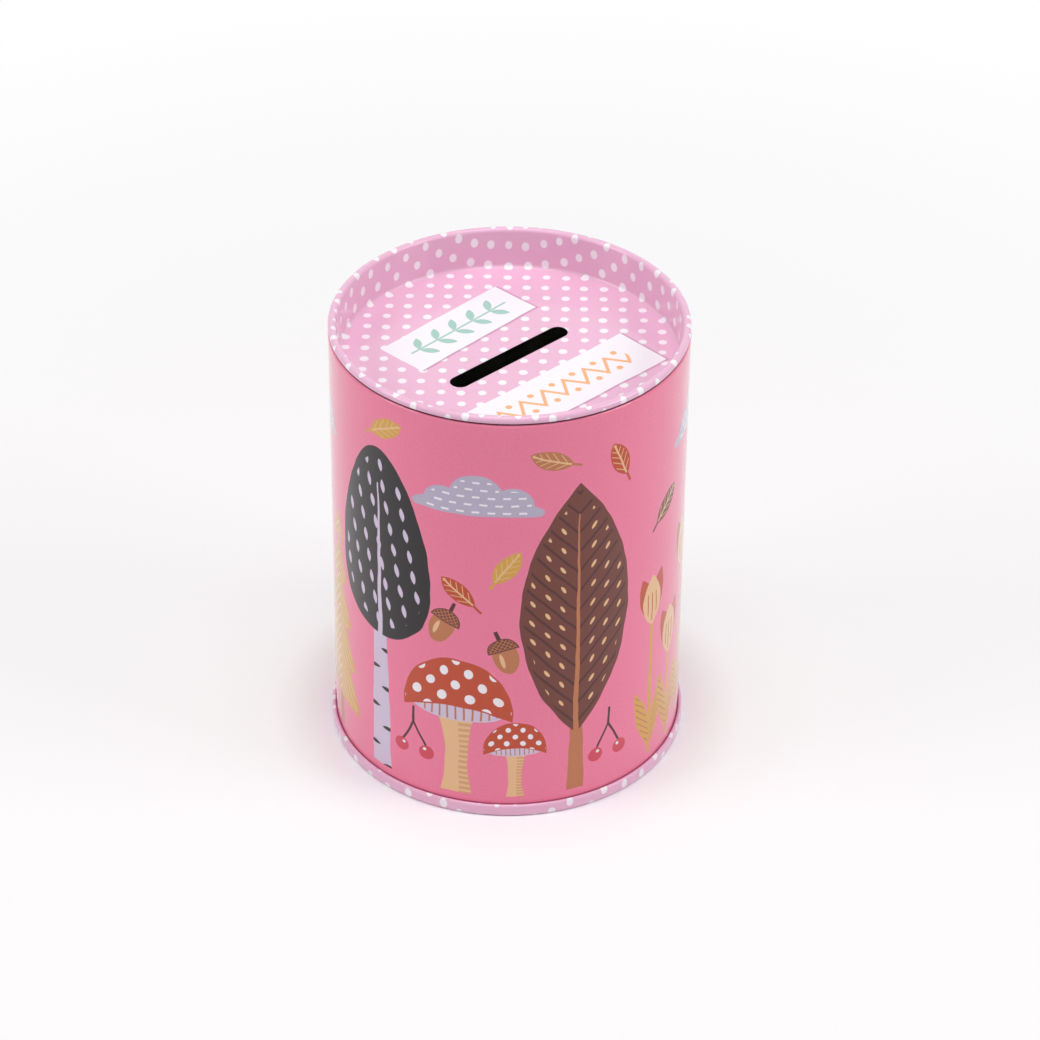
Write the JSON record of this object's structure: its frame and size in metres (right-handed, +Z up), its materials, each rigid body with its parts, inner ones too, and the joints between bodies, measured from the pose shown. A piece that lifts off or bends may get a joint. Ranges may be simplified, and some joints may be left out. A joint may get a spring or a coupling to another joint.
{
  "type": "tin money box",
  "caption": "Round tinplate money box: a printed can with a curled mouth and a double-seamed base, closed by a lift-off plug lid with a coin slot in its sunken panel.",
  "frame": {"origin": "centre of the ring that the tin stands on, on the standing surface", "axes": "+Z up along the tin's axis, X along the coin slot, lock seam of the wall on the +Y side"},
  "size_m": [0.082, 0.082, 0.1075],
  "materials": {
    "printed_wall": "lithographed tinplate with a satin varnish, printed picture outside, bare tin inside",
    "dotted_base": "lithographed tinplate with a satin varnish, white dots on pink outside, bare tin inside",
    "dotted_lid": "lithographed tinplate with a satin varnish, white dots on pink above, bare tin below"
  },
  "bodies": {
    "tin": {"side_wall": "printed_wall", "base": "dotted_base"},
    "lid": {"lid": "dotted_lid"}
  },
  "joints": [
    {"name": "lid_lift", "type": "slide", "parent": "tin", "child": "lid", "axis": [0, 0, 1], "range_m": [0, 0.05]}
  ]
}
